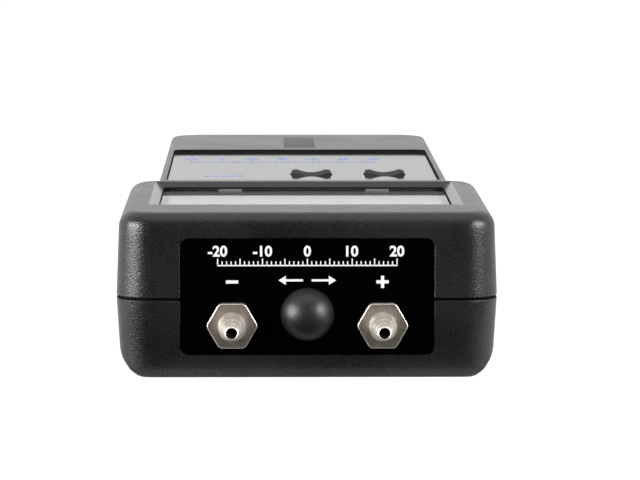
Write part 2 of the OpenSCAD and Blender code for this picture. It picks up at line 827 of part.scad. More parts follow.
module main_board() {
    half_nose = board_nose_w / 2;
    half_head = board_head_w / 2;
    half_body = board_body_w / 2;
    half_notch = jack_w / 2 + board_notch_gap;
    notch_y = jack_back_y + board_notch_gap;
    color([0.1, 0.35, 0.18])
        difference() {
            translate([0, 0, board_z])
                linear_extrude(board_t)
                    polygon([
                        [half_nose, board_near_y], [half_nose, board_shoulder_y], [half_head, board_shoulder_y],
                        [half_head, board_waist_y], [half_body, board_waist_y], [half_body, board_far_y],
                        [-half_body, board_far_y], [-half_body, board_waist_y], [-half_head, board_waist_y],
                        [-half_head, board_shoulder_y], [-half_nose, board_shoulder_y], [-half_nose, board_near_y],
                        [-half_notch, board_near_y], [-half_notch, notch_y], [half_notch, notch_y],
                        [half_notch, board_near_y]
                    ]);
            for (p = board_screw_places)
                translate([p[0], p[1], board_z - over])
                    cylinder(r = board_screw_r + 2 * fit, h = board_t + 2 * over);
        }
}

module controller_chip() {
    chip_w = 12;
    chip_t = 1.6;
    chip_gap = 2;
    chip_x = button_x - switch_w / 2 - chip_gap - chip_w / 2;
    color([0.08, 0.08, 0.08])
        plate(chip_x, button_y - chip_w / 4, board_top_z, chip_w, chip_w, chip_t, chip_t / 4);
}

module amplifier_chip() {
    chip_w = 10;
    chip_l = 8;
    chip_t = 1.8;
    color([0.08, 0.08, 0.08])
        plate(0, head_far_y, board_z - chip_t, chip_w, chip_l, chip_t, chip_t / 4);
}

// Two can capacitors, a crystal, and a row of small chips behind the keypad
module board_parts() {
    can_r = 2.5;
    can_h = 6;
    can_pitch = 6;
    can_x = 3 * can_r - board_body_w / 2;
    row_y = board_far_y - 2 * can_r;
    small_w = 2.4;
    small_l = 1.6;
    small_t = 0.8;
    small_count = 5;
    small_pitch = board_body_w / 12;
    color([0.6, 0.6, 0.62]) {
        for (i = [0, 1])
            translate([can_x + can_r, row_y - i * can_pitch, board_top_z])
                cylinder(r = can_r, h = can_h);
        plate(0, row_y, board_top_z, 4 * can_r, 2 * can_r - small_t, can_h / 2, can_r / 2);
        for (i = [0:small_count - 1])
            block(can_r + i * small_pitch, row_y - can_pitch, board_top_z, small_w, small_l, small_t);
    }
}

// A button: a dished cap, a flange under the case's top and a stem down to the switch
module button(x) {
    cap_top_z = label_top_z + button_rise;
    stem_r = 1.5;
    difference() {
        union() {
            plate(x, button_y, button_flange_z, button_w, button_l, cap_top_z - button_flange_z, button_r);
            plate(x, button_y, button_flange_z, button_w + 2 * button_flange_lap, button_l + 2 * button_flange_lap,
                button_flange_t, button_r + button_flange_lap);
            translate([x, button_y, plunger_top_z])
                cylinder(r = stem_r, h = button_flange_z - plunger_top_z + over);
        }
        translate([x, button_y + button_l, cap_top_z - button_dish + dish_r])
            rotate([90, 0, 0])
                cylinder(r = dish_r, h = 2 * button_l, $fn = 180);
    }
}

module power_button() {
    color([0.13, 0.13, 0.14])
        button(button_x);
}

module hold_button() {
    color([0.13, 0.13, 0.14])
        button(button_x + button_pitch);
}

// A tactile switch's housing, open on top for its plunger
module switch_housing(x) {
    difference() {
        block(x, button_y, board_top_z, switch_w, switch_w, switch_h);
        translate([x, button_y, board_top_z + switch_floor])
            cylinder(r = plunger_r + pin_fit, h = switch_h);
    }
}

module power_switch() {
    color([0.15, 0.15, 0.15])
        switch_housing(button_x);
}

module hold_switch() {
    color([0.15, 0.15, 0.15])
        switch_housing(button_x + button_pitch);
}

// A tactile switch's plunger, which moves with its button
module switch_plunger(x) {
    foot_z = board_top_z + switch_floor + button_travel + plunger_rest;
    translate([x, button_y, foot_z])
        cylinder(r = plunger_r, h = plunger_top_z - foot_z);
}

module power_plunger() {
    color([0.75, 0.72, 0.65])
        switch_plunger(button_x);
}

module hold_plunger() {
    color([0.75, 0.72, 0.65])
        switch_plunger(button_x + button_pitch);
}

// A hose fitting: hexagon with turned corners, stepped nozzle, thread and tail, bored right through
module port_fitting(x) {
    barbs_l = nozzle_l - nozzle_base_l;
    barb_l = barbs_l / nozzle_barbs;
    fall = (nozzle_base_r - nozzle_tip_r) / nozzle_barbs;
    tail_barb_l = tail_l / 5;
    difference() {
        union() {
            intersection() {
                hex_bar(x, port_z, hex_af, hex_y, seal_y);
                taper_bar(x, port_z, hex_turned_r - hex_t / 4, hex_turned_r + 2 * hex_t, hex_y, hex_y + 2 * hex_t);
            }
            bar(x, port_z, nozzle_base_r, hex_y - nozzle_base_l, hex_y + over);
            bar(x, port_z, nozzle_tip_r, nozzle_tip_y, hex_y);
            for (i = [0:nozzle_barbs - 1])
                taper_bar(x, port_z, nozzle_base_r - (i + 1) * fall, nozzle_base_r - (i + 1) * fall + barb_lip,
                    hex_y - nozzle_base_l - (i + 1) * barb_l, hex_y - nozzle_base_l - i * barb_l - barb_l / 4);
            for (i = [0:nozzle_barbs - 1])
                bar(x, port_z, nozzle_base_r - (i + 1) * fall,
                    hex_y - nozzle_base_l - (i + 1) * barb_l, hex_y - nozzle_base_l - i * barb_l + fit);
            bar(x, port_z, thread_r, seal_y - over, tail_y + fit);
            bar(x, port_z, tail_r - fit, tail_y, tail_y + tail_l);
            taper_bar(x, port_z, tail_r, tail_r - fit, tail_y + tail_l - tail_barb_l, tail_y + tail_l);
        }
        bar(x, port_z, nozzle_bore_r, nozzle_tip_y - over, tail_y + tail_l + over);
    }
}

module port_fitting_1() {
    color([0.72, 0.7, 0.66])
        port_fitting(port_pitch / 2);
}

module port_fitting_2() {
    color([0.72, 0.7, 0.66])
        port_fitting(-port_pitch / 2);
}

module port_seals() {
    seal_r = hex_af / 2 - seal_t;
    color([0.06, 0.06, 0.06])
        for (side = [-1, 1])
            difference() {
                bar(side * port_pitch / 2, port_z, seal_r, seal_y, label_face_y);
                bar(side * port_pitch / 2, port_z, thread_r + fit, seal_y - over, label_face_y + over);
            }
}

module port_nuts() {
    color([0.72, 0.7, 0.66])
        for (side = [-1, 1])
            difference() {
                hex_bar(side * port_pitch / 2, port_z, hex_af, panel_back_y, tail_y);
                bar(side * port_pitch / 2, port_z, thread_r + fit, panel_back_y - over, tail_y + over);
            }
}

module pressure_sensor() {
    leg_count = 4;
    leg_pitch = sensor_l / (leg_count + 1);
    color([0.3, 0.3, 0.32])
        difference() {
            union() {
                plate(0, sensor_y + sensor_l / 2, sensor_z, sensor_w, sensor_l, sensor_h, sensor_leg);
                for (side = [-1, 1]) {
                    bar(side * nipple_pitch / 2, nipple_z, nipple_r, sensor_y - nipple_l, sensor_y + over);
                    for (i = [1:leg_count])
                        translate([side * sensor_w / 3, sensor_y + i * leg_pitch, sensor_z + sensor_h - over])
                            cylinder(r = sensor_leg_r, h = sensor_leg + over);
                }
            }
            for (side = [-1, 1])
                bar(side * nipple_pitch / 2, nipple_z, nipple_r / 2, sensor_y - nipple_l - over, sensor_y);
        }
}

// Route that starts and ends along Y and moves over in between
function s_route(a, b, rings) = [
    for (i = [0:rings]) let (t = i / rings, s = t * t * (3 - 2 * t))
        [a[0] + (b[0] - a[0]) * s, a[1] + (b[1] - a[1]) * t, a[2] + (b[2] - a[2]) * s]
];

// Route that starts along Y and ends along Z
function bend_route(a, b, rings) = [
    for (i = [0:rings]) let (t = 90 * i / rings)
        [a[0] + (b[0] - a[0]) * i / rings, a[1] + (b[1] - a[1]) * sin(t), a[2] + (b[2] - a[2]) * (1 - cos(t))]
];

// Direction of a route at point i
function heading(route, i) = let (
    d = route[min(i + 1, len(route) - 1)] - route[max(i - 1, 0)]
) d / norm(d);

// A round tube swept along a route whose end rings are square to the directions first and last
module sweep(route, r, sides, first, last) {
    n = len(route);
    points = [
        for (i = [0:n - 1]) let (
            d = i == 0 ? first : i == n - 1 ? last : heading(route, i),
            u = cross(d, [1, 0, 0]) / norm(cross(d, [1, 0, 0])),
            v = cross(d, u)
        ) for (k = [0:sides - 1]) let (a = 360 * k / sides) route[i] + r * cos(a) * u + r * sin(a) * v
    ];
    sides_faces = [
        for (i = [0:n - 2]) for (k = [0:sides - 1]) let (
            a = i * sides + k,
            b = i * sides + (k + 1) % sides
        ) each [[a, b, b + sides], [a, b + sides, a + sides]]
    ];
    caps = [
        [for (k = [sides - 1:-1:0]) k],
        [for (k = [0:sides - 1]) (n - 1) * sides + k]
    ];
    polyhedron(points, concat(sides_faces, caps));
}

// A silicone tube from a fitting's tail to a sensor nipple, open over both
module sensor_tube(side) {
    start = [side * port_pitch / 2, tail_y + slip, port_z];
    bend_start = [side * port_pitch / 2, tail_y + tail_l + slip, port_z];
    bend_end = [side * nipple_pitch / 2, sensor_y - nipple_l - slip, nipple_z];
    end = [side * nipple_pitch / 2, sensor_y - slip, nipple_z];
    route = concat([start], s_route(bend_start, bend_end, tube_rings), [end]);
    difference() {
        sweep(route, tube_r, tube_sides, [0, 1, 0], [0, 1, 0]);
        bar(start[0], port_z, tail_r, start[1] - over, bend_start[1]);
        bar(end[0], nipple_z, nipple_r + pin_fit, bend_end[1], end[1] + over);
    }
}

module sensor_tube_1() {
    color([0.85, 0.85, 0.82])
        sensor_tube(1);
}

module sensor_tube_2() {
    color([0.85, 0.85, 0.82])
        sensor_tube(-1);
}

module data_jack() {
    color([0.12, 0.12, 0.12])
        difference() {
            union() {
                block(0, panel_back_y + jack_l / 2, jack_z - jack_w / 2, jack_w, jack_l, jack_w);
                bar(0, jack_z, bush_r, bush_tip_y, panel_back_y + over);
            }
            bar(0, jack_z, jack_bore_r, bush_tip_y - over, panel_back_y + jack_l / 2 + over);
        }
}

module data_jack_nut() {
    color([0.7, 0.7, 0.7])
        difference() {
            bar(0, jack_z, jack_nut_r, bush_tip_y, label_face_y);
            bar(0, jack_z, bush_r + pin_fit, bush_tip_y - over, label_face_y + over);
        }
}

// Two thin wires from the back of the jack up to the board
module data_wires() {
    reach_y = 6;
    color([0.75, 0.2, 0.15])
        for (side = [-1, 1])
            sweep(bend_route([side * jack_w / 6, jack_back_y, jack_z], [side * jack_w / 6, jack_back_y + reach_y, board_z],
                wire_rings), wire_r, wire_sides, [0, 1, 0], [0, 0, 1]);
}

// Rubber dome with a hollow for the ring nut and a stem that plugs the jack
module jack_cap() {
    color([0.12, 0.12, 0.12]) {
        difference() {
            translate([0, cap_foot_y, jack_z])
                sphere(r = cap_r);
            block(0, cap_foot_y + cap_r, jack_z - 2 * cap_r, 4 * cap_r, 2 * cap_r, 4 * cap_r);
            bar(0, jack_z, cap_hollow_r, cap_foot_y - cap_hollow_l, cap_foot_y + over);
        }
        bar(0, jack_z, cap_stem_r, cap_foot_y - cap_hollow_l - over, cap_foot_y - cap_hollow_l + cap_stem_l);
    }
}

module battery() {
    battery_r = 2;
    color([0.25, 0.25, 0.28]) {
        face_plate(0, battery_near_y, battery_z + battery_h / 2, battery_w, battery_h, battery_l, battery_r);
        for (side = [-1, 1])
            bar(side * terminal_pitch / 2, battery_z + battery_h / 2, terminal_r, battery_near_y - terminal_l,
                battery_near_y + over);
    }
}

module battery_snap() {
    mid_z = battery_z + battery_h / 2;
    color([0.1, 0.1, 0.1])
        difference() {
            face_plate(0, snap_y, mid_z, snap_w, snap_h, snap_t, terminal_r / 2);
            for (side = [-1, 1])
                bar(side * terminal_pitch / 2, mid_z, terminal_r + fit, battery_near_y - terminal_l - fit,
                    battery_near_y + over);
        }
}

module battery_wires() {
    mid_z = battery_z + battery_h / 2;
    wire_inset = 3;
    color([0.7, 0.1, 0.1])
        for (side = [-1, 1])
            sweep(bend_route([side * terminal_pitch / 4, snap_y, mid_z],
                [side * terminal_pitch / 4, board_far_y - wire_inset, board_z], wire_rings),
                wire_r, wire_sides, [0, -1, 0], [0, 0, 1]);
}

module case_screws() {
    color([0.7, 0.7, 0.72])
        for (p = case_screw_places)
            translate([p[0], p[1], 0])
                difference() {
                    union() {
                        translate([0, 0, screw_sink - screw_head_h])
                            cylinder(r = screw_head_r, h = screw_head_h);
                        translate([0, 0, screw_sink - fit])
                            cylinder(r = screw_r, h = screw_l);
                    }
                    for (a = [0, 90])
                        rotate([0, 0, a])
                            block(0, 0, 0, 2 * screw_r, screw_slot_w, screw_sink - screw_head_h / 2);
                }
}

module board_screws() {
    color([0.75, 0.75, 0.76])
        for (p = board_screw_places)
            translate([p[0], p[1], board_z]) {
                translate([0, 0, -board_screw_head_h])
                    cylinder(r = board_screw_head_r, h = board_screw_head_h);
                cylinder(r = board_screw_r, h = board_screw_l);
            }
}

top_case();
bottom_case();
battery_door();
port_panel();
port_label();
keypad_label();
display_window();
window_gasket();
lcd_frame();
lcd_glass();
contact_strips();
main_board();
controller_chip();
amplifier_chip();
board_parts();
power_button();
hold_button();
power_switch();
hold_switch();
power_plunger();
hold_plunger();
port_fitting_1();
port_fitting_2();
port_seals();
port_nuts();
pressure_sensor();
sensor_tube_1();
sensor_tube_2();
data_jack();
data_jack_nut();
data_wires();
jack_cap();
battery();
battery_snap();
battery_wires();
case_screws();
board_screws();
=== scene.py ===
from math import cos, pi, radians, sin, tan

import bmesh
import bpy
from mathutils import Matrix, Vector


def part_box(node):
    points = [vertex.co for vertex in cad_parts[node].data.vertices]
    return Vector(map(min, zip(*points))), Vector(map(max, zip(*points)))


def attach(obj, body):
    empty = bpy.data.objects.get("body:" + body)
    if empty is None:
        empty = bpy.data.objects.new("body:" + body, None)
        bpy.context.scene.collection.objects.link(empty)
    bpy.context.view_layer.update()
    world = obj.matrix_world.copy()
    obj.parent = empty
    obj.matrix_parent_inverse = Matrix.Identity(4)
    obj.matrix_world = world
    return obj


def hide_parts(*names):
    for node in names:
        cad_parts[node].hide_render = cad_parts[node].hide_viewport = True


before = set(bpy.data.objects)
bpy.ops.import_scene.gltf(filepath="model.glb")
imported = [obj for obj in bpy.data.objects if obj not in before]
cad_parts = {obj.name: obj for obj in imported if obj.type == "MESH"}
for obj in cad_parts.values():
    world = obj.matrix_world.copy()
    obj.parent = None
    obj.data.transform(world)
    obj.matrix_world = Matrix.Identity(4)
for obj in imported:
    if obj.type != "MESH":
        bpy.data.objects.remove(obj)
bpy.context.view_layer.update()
mm = 0.001

# ---- The camera ----
# Seen from the port end, a little above the meter, through a long lens.
# Its place and turn follow the vanishing of the case's long edges.
FOCAL_PX = 3597.5
PHOTO_WIDTH_PX = 640
SENSOR = 36
camera_data = bpy.data.cameras.new("photo_camera")
camera_data.sensor_width = SENSOR
camera_data.lens = FOCAL_PX * SENSOR / PHOTO_WIDTH_PX
camera_data.clip_start = 10 * mm
camera_data.clip_end = 50
camera = bpy.data.objects.new("photo_camera", camera_data)
bpy.context.scene.collection.objects.link(camera)
CAMERA_PLACE = Vector((-8.54, -758.4, 101.58)) * mm
CAMERA_YAW, CAMERA_PITCH, CAMERA_ROLL = 0.0163, 0.1122, 0.0011
ahead = Vector((sin(CAMERA_YAW) * cos(CAMERA_PITCH), cos(CAMERA_YAW) * cos(CAMERA_PITCH), -sin(CAMERA_PITCH)))
level_right = Vector((cos(CAMERA_YAW), -sin(CAMERA_YAW), 0))
level_up = level_right.cross(ahead)
right = level_right * cos(CAMERA_ROLL) + level_up * sin(CAMERA_ROLL)
up = level_up * cos(CAMERA_ROLL) - level_right * sin(CAMERA_ROLL)
camera.matrix_world = Matrix.Translation(CAMERA_PLACE) @ Matrix((right, up, -ahead)).transposed().to_4x4()
bpy.context.scene.camera = camera

# ---- The studio ----
# A wide white table under an even white tent, open and dim on the side where the camera stands.
# Two soft boxes stand left and right of the meter, and a broad one hangs above the camera's side.
scene = bpy.context.scene
scene.view_settings.view_transform = "Standard"
FLOOR_REACH = 4.0
# The table as the camera sees it: its own white, and the colour that takes the shadow
FLOOR_GLOW = 0.84
FLOOR_COLOUR = (0.28, 0.28, 0.28, 1)
# The table as the meter sees it: plain pale under the meter, with painted shade on the table in front of the
# port end
FLOOR_PLAIN = 0.75
FLOOR_PAINTED_SHADE = 0.05
PAINTED_SHADE_EDGE = (-0.098, -0.088)
# The tent's level on matt surfaces, and in reflections on the camera's side and behind the meter
TENT_LIGHT = 0.55
TENT_DIM = 0.12
TENT_BEHIND = 0.93
TENT_TURN = (-0.28, 0.2)


def nodes_of(owner):
    """The cleared node tree of a material or world."""
    owner.use_nodes = True
    owner.node_tree.nodes.clear()
    return owner.node_tree


def add_node(tree, kind, settings=(), **inputs):
    """A new node; inputs are given by name with _ for a blank, as a value or as the socket to join."""
    node = tree.nodes.new(kind)
    for key, value in dict(settings).items():
        setattr(node, key, value)
    for key, value in inputs.items():
        label = key.replace("_", " ")
        socket = node.inputs[int(key[1:])] if key[0] == "n" and key[1:].isdigit() else node.inputs[label]
        if isinstance(value, bpy.types.NodeSocket):
            tree.links.new(value, socket)
        else:
            socket.default_value = value
    return node


def math_node(tree, operation, a, b=0.0, clamp=False):
    """One math step on two numbers or sockets."""
    settings = {"operation": operation, "use_clamp": clamp}
    return add_node(tree, "ShaderNodeMath", settings, n0=a, n1=b).outputs[0]


world = bpy.data.worlds.new("tent")
scene.world = world
tree = nodes_of(world)
path = add_node(tree, "ShaderNodeLightPath")
seen = math_node(tree, "MAXIMUM", path.outputs["Is Camera Ray"], path.outputs["Is Transmission Ray"])
direction = add_node(tree, "ShaderNodeSeparateXYZ",
                     Vector=add_node(tree, "ShaderNodeTexCoord").outputs["Generated"])
behind = add_node(tree, "ShaderNodeMapRange", {"interpolation_type": "SMOOTHSTEP"},
                  Value=direction.outputs["Y"], From_Min=TENT_TURN[0], From_Max=TENT_TURN[1],
                  To_Min=TENT_DIM, To_Max=TENT_BEHIND).outputs[0]
glossy_level = math_node(tree, "MULTIPLY", behind, path.outputs["Is Glossy Ray"])
not_glossy = math_node(tree, "SUBTRACT", 1.0, path.outputs["Is Glossy Ray"])
plain_level = math_node(tree, "MULTIPLY", not_glossy, TENT_LIGHT)
unseen_level = math_node(tree, "ADD", glossy_level, plain_level)
level = math_node(tree, "MAXIMUM", seen, unseen_level)
background = add_node(tree, "ShaderNodeBackground", Color=(1, 1, 1, 1), Strength=level)
add_node(tree, "ShaderNodeOutputWorld", Surface=background.outputs[0])

floor_finish = bpy.data.materials.new("floor_white")
tree = nodes_of(floor_finish)
path = add_node(tree, "ShaderNodeLightPath")
seen = math_node(tree, "MAXIMUM", path.outputs["Is Camera Ray"], path.outputs["Is Transmission Ray"])
glow = add_node(tree, "ShaderNodeEmission", Color=(1, 1, 1, 1), Strength=FLOOR_GLOW)
sheet = add_node(tree, "ShaderNodeBsdfDiffuse", Color=FLOOR_COLOUR)
shown = add_node(tree, "ShaderNodeAddShader", n0=glow.outputs[0], n1=sheet.outputs[0])
spot = add_node(tree, "ShaderNodeSeparateXYZ", Vector=add_node(tree, "ShaderNodeTexCoord").outputs["Object"])
# Painted shade: for every ray but the camera's, the table turns dark in front of the port end
white = add_node(tree, "ShaderNodeMapRange", {"interpolation_type": "SMOOTHSTEP"}, Value=spot.outputs[1],
                 From_Min=PAINTED_SHADE_EDGE[0], From_Max=PAINTED_SHADE_EDGE[1],
                 To_Min=FLOOR_PAINTED_SHADE, To_Max=FLOOR_PLAIN).outputs[0]
grey = add_node(tree, "ShaderNodeCombineColor", Red=white, Green=white, Blue=white).outputs[0]
plain = add_node(tree, "ShaderNodeBsdfDiffuse", Color=grey)
mixed = add_node(tree, "ShaderNodeMixShader", n0=seen, n1=plain.outputs[0], n2=shown.outputs[0])
add_node(tree, "ShaderNodeOutputMaterial", Surface=mixed.outputs[0])
floor_mesh = bpy.data.meshes.new("studio_floor")
floor_corners = ((-1, -1), (1, -1), (1, 1), (-1, 1))
floor_mesh.from_pydata([(x * FLOOR_REACH, y * FLOOR_REACH, 0) for x, y in floor_corners], [], [(0, 1, 2, 3)])
floor_mesh.materials.append(floor_finish)
studio_floor = bpy.data.objects.new("studio_floor", floor_mesh)
scene.collection.objects.link(studio_floor)

AIM_AT = Vector((0, -0.04, 0.015))
# Each soft box: its place, its width and height, and its power in watts
SOFT_BOXES = {
    "box_left": ((-0.76, -0.36, 0.22), (0.58, 0.40), 12.0),
    "box_right": ((0.68, -0.40, 0.30), (0.36, 0.36), 7.5),
    "box_above": ((0, -0.30, 0.85), (0.9, 0.5), 1.6),
}
for name, (place, (wide, high), power) in SOFT_BOXES.items():
    lamp = bpy.data.lights.new(name, "AREA")
    lamp.shape, lamp.size, lamp.size_y, lamp.energy = "RECTANGLE", wide, high, power
    holder = bpy.data.objects.new(name, lamp)
    scene.collection.objects.link(holder)
    aim = AIM_AT - Vector(place)
    holder.matrix_world = Matrix.Translation(place) @ aim.to_track_quat("-Z", "Y").to_matrix().to_4x4()

# ---- The case halves ----
# Two mouldings of black ABS with a fine spark-eroded grain, open by a thin groove at their joint line.
# Four screws from below draw them together, and a tongue closes the groove from inside.
CASE_BLACK = (0.0085, 0.0085, 0.0092, 1)
CASE_GRAIN = 4200
CASE_BREAK = 0.18 * mm


def shader_group(name, inputs, outputs):
    """A shader node group with its sockets, and its input and output nodes."""
    group = bpy.data.node_groups.new(name, "ShaderNodeTree")
    for label, kind, value in inputs:
        group.interface.new_socket(label, in_out="INPUT", socket_type=kind).default_value = value
    for label, kind in outputs:
        group.interface.new_socket(label, in_out="OUTPUT", socket_type=kind)
    return group, group.nodes.new("NodeGroupInput"), group.nodes.new("NodeGroupOutput")


# Grain of a moulded or rolled surface: colour, roughness and height that wander over the piece
SPECK_SCALE, SPECK_SIZE, SPECK_SHOW = 420.0, 0.16, 0.35
SPECK_COLOUR = (0.4, 0.4, 0.4, 1)
moulded_grain, given, result = shader_group(
    "moulded_grain",
    [("Base", "NodeSocketColor", (0.5, 0.5, 0.5, 1)), ("Colour Spread", "NodeSocketFloat", 0.1),
     ("Cloud Scale", "NodeSocketFloat", 60.0), ("Grain Scale", "NodeSocketFloat", 1500.0),
     ("Roughness", "NodeSocketFloat", 0.4), ("Roughness Spread", "NodeSocketFloat", 0.1),
     ("Specks", "NodeSocketFloat", 0.0)],
    [("Color", "NodeSocketColor"), ("Roughness", "NodeSocketFloat"), ("Height", "NodeSocketFloat")])
place = add_node(moulded_grain, "ShaderNodeTexCoord").outputs["Object"]
cloud = add_node(moulded_grain, "ShaderNodeTexNoise", Vector=place, Scale=given.outputs["Cloud Scale"],
                 Detail=3.0, Roughness=0.6).outputs["Fac"]
fine = add_node(moulded_grain, "ShaderNodeTexNoise", Vector=place, Scale=given.outputs["Grain Scale"],
                Detail=2.0, Roughness=0.55).outputs["Fac"]
cell_scale = math_node(moulded_grain, "MULTIPLY", given.outputs["Grain Scale"], 0.8)
cells = add_node(moulded_grain, "ShaderNodeTexVoronoi", {"feature": "SMOOTH_F1"}, Vector=place,
                 Scale=cell_scale).outputs["Distance"]
both = math_node(moulded_grain, "ADD", math_node(moulded_grain, "MULTIPLY", cloud, 0.35),
                 math_node(moulded_grain, "MULTIPLY", fine, 0.65))
factor = math_node(moulded_grain, "ADD", 1.0, math_node(
    moulded_grain, "MULTIPLY", math_node(moulded_grain, "SUBTRACT", both, 0.5),
    math_node(moulded_grain, "MULTIPLY", given.outputs["Colour Spread"], 4.0)))
tinted = add_node(moulded_grain, "ShaderNodeVectorMath", {"operation": "SCALE"}, Vector=given.outputs["Base"],
                  Scale=factor).outputs[0]
dots = add_node(moulded_grain, "ShaderNodeTexVoronoi", {"feature": "F1"}, Vector=place,
                Scale=SPECK_SCALE)
near_dot = math_node(moulded_grain, "LESS_THAN", dots.outputs["Distance"], SPECK_SIZE)
picked = add_node(moulded_grain, "ShaderNodeSeparateColor", Color=dots.outputs["Color"]).outputs[0]
chosen = math_node(moulded_grain, "LESS_THAN", picked, given.outputs["Specks"])
speck = math_node(moulded_grain, "MULTIPLY", math_node(moulded_grain, "MULTIPLY", near_dot, chosen),
                  SPECK_SHOW)
dusted = add_node(moulded_grain, "ShaderNodeMix", {"data_type": "RGBA"}, n0=speck, n6=tinted,
                  n7=SPECK_COLOUR).outputs[2]
moulded_grain.links.new(dusted, result.inputs["Color"])
rough_wander = math_node(moulded_grain, "MULTIPLY", math_node(moulded_grain, "SUBTRACT", both, 0.5),
                         math_node(moulded_grain, "MULTIPLY", given.outputs["Roughness Spread"], 4.0))
wandering = math_node(moulded_grain, "ADD", given.outputs["Roughness"], rough_wander, True)
moulded_grain.links.new(wandering, result.inputs["Roughness"])
height = math_node(moulded_grain, "ADD", fine, math_node(moulded_grain, "MULTIPLY", cells, 0.6))
moulded_grain.links.new(height, result.inputs["Height"])


def grained(name, base, rough, grain=1500.0, depth=0.01, spread=0.08, rough_spread=0.08, cloud=60.0,
            specks=0.0, **sockets):
    """A material over the moulded grain.

    depth is the grain's height in mm, and sockets are the shader's own."""
    finish = bpy.data.materials.new(name)
    tree = nodes_of(finish)
    surface = add_node(tree, "ShaderNodeGroup", {"node_tree": moulded_grain}, Base=base, Colour_Spread=spread,
                       Cloud_Scale=cloud, Grain_Scale=grain, Roughness=rough, Roughness_Spread=rough_spread,
                       Specks=specks)
    bump = add_node(tree, "ShaderNodeBump", Strength=1.0, Distance=depth * mm,
                    Height=surface.outputs["Height"])
    shader = add_node(tree, "ShaderNodeBsdfPrincipled", Base_Color=surface.outputs["Color"],
                      Roughness=surface.outputs["Roughness"], Normal=bump.outputs[0], **sockets)
    add_node(tree, "ShaderNodeOutputMaterial", Surface=shader.outputs[0])
    return finish


def dress(node, finish):
    """Gives a CAD node its material."""
    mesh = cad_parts[node].data
    if not mesh.materials:
        mesh.materials.append(finish)
    for i in range(len(mesh.materials)):
        mesh.materials[i] = finish


def new_piece(name, bm, finish, body, replaced=(), smooth_below=30):
    """An object from a bmesh, shaded smooth below an angle, that rides on a body."""
    for face in bm.faces:
        face.smooth = True
    for edge in bm.edges:
        edge.smooth = edge.calc_face_angle(pi) < radians(smooth_below)
    mesh = bpy.data.meshes.new(name)
    bm.to_mesh(mesh)
    bm.free()
    mesh.materials.append(finish)
    piece = bpy.data.objects.new(name, mesh)
    bpy.context.scene.collection.objects.link(piece)
    if replaced:
        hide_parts(*replaced)
    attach(piece, body)
    return piece


def moulding(node, name, finish, body, broken_edge=0.0, smooth_below=30, others=()):
    """A node's own shape with its loose triangles joined, curved faces smooth and sharp edges just broken.

    others are finishes for some of its faces, each with the test that picks them. Where the bevel
    overshoots at a thin triangle, the shape is held inside the node's own box."""
    bm = bmesh.new()
    bm.from_mesh(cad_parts[node].data)
    bmesh.ops.remove_doubles(bm, verts=bm.verts, dist=0.001 * mm)
    bmesh.ops.dissolve_limit(bm, angle_limit=radians(0.3), verts=bm.verts, edges=bm.edges)
    bm.normal_update()
    for face in bm.faces:
        face.material_index = next((i + 1 for i, (_, test) in enumerate(others) if test(face)), 0)
    piece = new_piece(name, bm, finish, body, (node,), smooth_below)
    for other, _ in others:
        piece.data.materials.append(other)
    if broken_edge:
        bevel = piece.modifiers.new("broken_edge", "BEVEL")
        bevel.width, bevel.segments, bevel.limit_method = broken_edge, 2, "ANGLE"
        bevel.angle_limit, bevel.use_clamp_overlap, bevel.harden_normals = radians(40), False, True
        depsgraph = bpy.context.evaluated_depsgraph_get()
        shape = bpy.data.meshes.new_from_object(piece.evaluated_get(depsgraph))
        piece.modifiers.remove(bevel)
        piece.data = shape
        lo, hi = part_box(node)
        for vertex in shape.vertices:
            vertex.co = [min(max(c, a), b) for c, a, b in zip(vertex.co, lo, hi)]
    return piece


case_plastic = grained("case_plastic", CASE_BLACK, 0.29, grain=CASE_GRAIN, depth=0.05, spread=1.1,
                       rough_spread=0.12, specks=0.01, Specular_IOR_Level=0.5)
polished_plastic = grained("polished_plastic", CASE_BLACK, 0.14, grain=CASE_GRAIN, depth=0.004, spread=0.2,
                           rough_spread=0.04, Specular_IOR_Level=0.5)
window_lo, window_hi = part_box("display_window")
case_top_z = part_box("top_case")[1][2]
keypad_lo, keypad_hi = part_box("keypad_label")
keypad_far_y = keypad_hi[1]
SCOOP_W = 7 * mm
# Below this angle in degrees an edge is shaded smooth; the window's bevel meets the top at 29
SMOOTH_BELOW = 24
SEAM_Z = 15 * mm
worn_plastic = grained("worn_plastic", CASE_BLACK, 0.36, grain=CASE_GRAIN, depth=0.09, spread=0.9,
                       rough_spread=0.1, Specular_IOR_Level=0.5)
# Painted shade: a darker, duller copy of the case plastic for the groove at the joint line, the keypad's
# recess and the walls round the window, where shade falls
painted_shade_plastic = grained("painted_shade_plastic", (0.004, 0.004, 0.0042, 1), 0.8, grain=CASE_GRAIN, depth=0.02,
                       spread=0.5, Specular_IOR_Level=0.15)


def over(middle, lo, hi, slack):
    """Whether a point lies over a box seen from above, or within a slack of it."""
    return all(lo[i] - slack < middle[i] < hi[i] + slack for i in (0, 1))


def on_window_bevel(face):
    """Whether a face is the polished bevel round the window."""
    middle = face.calc_center_median()
    near = over(middle, window_lo, window_hi, 1 * mm)
    return near and middle[2] > case_top_z - 1.2 * mm and 0.3 < face.normal[2] < 0.95


def in_scoop(face):
    """Whether a face is the curved floor of the scoop behind the keypad."""
    middle = face.calc_center_median()
    return (middle[1] > keypad_far_y + 1 * mm and case_top_z - 3.2 * mm < middle[2] < case_top_z - 0.01 * mm
            and face.normal[2] > 0.5 and abs(middle[0]) < SCOOP_W / 2 + 0.1 * mm)


def in_groove(face):
    """Whether a face is a rim of the joint line or the tongue that stands across it."""
    low, high = (pick(v.co.z for v in face.verts) - SEAM_Z for pick in (min, max))
    on_rim = -0.3 * mm < low and high < 0.3 * mm
    return on_rim or (-2 * mm < low < 0 < high < 2 * mm)


